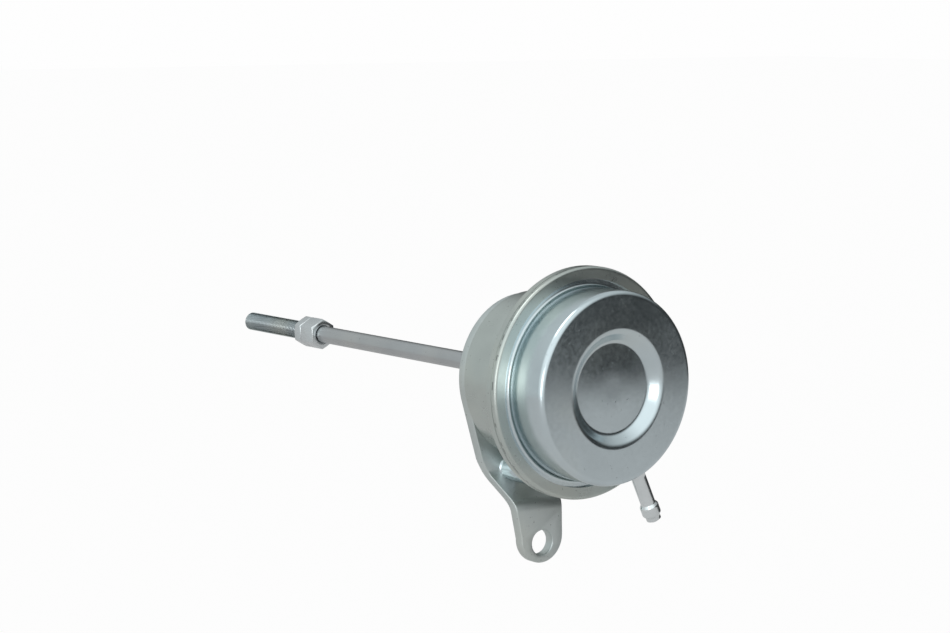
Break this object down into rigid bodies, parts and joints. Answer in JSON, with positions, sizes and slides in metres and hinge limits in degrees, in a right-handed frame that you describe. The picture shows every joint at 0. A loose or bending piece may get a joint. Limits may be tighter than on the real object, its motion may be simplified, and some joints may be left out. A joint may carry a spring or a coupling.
{
  "type": "wastegate actuator",
  "caption": "Round pressed-steel diaphragm actuator with a sliding threaded rod, adjusting nuts, a joggled mounting bracket and a beaded hose nipple.",
  "frame": {"origin": "centre of the bracket tab's hole, on the tab's rear mounting face", "axes": "+X along the rod towards the can and its cap, +Z from the tab's hole up to the rod's axis, +Y to the side that the hose nipple leans to"},
  "size_m": [0.1761, 0.0616, 0.0819],
  "materials": {
    "cap_zinc": "bright zinc plate, smooth",
    "can_zinc": "bright zinc plate, satin",
    "bracket_zinc": "zinc plate, matt",
    "bright_steel": "turned",
    "bronze": "sintered bronze",
    "rubber": "moulded",
    "inner_steel": "pressed",
    "spring_steel": "drawn wire",
    "aluminium": "pressed",
    "rod_zinc": "zinc plate, satin"
  },
  "bodies": {
    "housing": {"front_cap": "cap_zinc", "rear_can": "can_zinc", "bracket": "bracket_zinc", "bracket_pin": "bracket_zinc", "hose_nipple": "cap_zinc", "bush_carrier": "bright_steel", "guide_bush": "bronze", "rod_wiper": "rubber", "wiper_cap": "can_zinc", "spring_seat": "inner_steel", "coil_spring": "spring_steel", "diaphragm": "rubber"},
    "piston_rod": {"rod": "rod_zinc", "piston_cup": "aluminium", "pressure_plate": "inner_steel", "seal_washer": "rubber", "front_washer": "inner_steel", "backing_washer": "inner_steel"},
    "adjusting_nut": {"adjusting_nut": "rod_zinc"},
    "lock_nut": {"lock_nut": "rod_zinc"}
  },
  "joints": [
    {"name": "rod_stroke", "type": "slide", "parent": "housing", "child": "piston_rod", "axis": [-1, 0, 0], "range_m": [0, 0.012], "stiffness_N_per_m": 5000, "springref_m": -0.01, "deforming": ["coil_spring", "diaphragm"]},
    {"name": "adjusting_nut_turn", "type": "hinge", "parent": "piston_rod", "child": "adjusting_nut", "pos_m": [-0.1052, 0, 0.0456], "axis": [1, 0, 0], "continuous": true},
    {"name": "lock_nut_turn", "type": "hinge", "parent": "piston_rod", "child": "lock_nut", "pos_m": [-0.1101, 0, 0.0456], "axis": [1, 0, 0], "continuous": true}
  ]
}
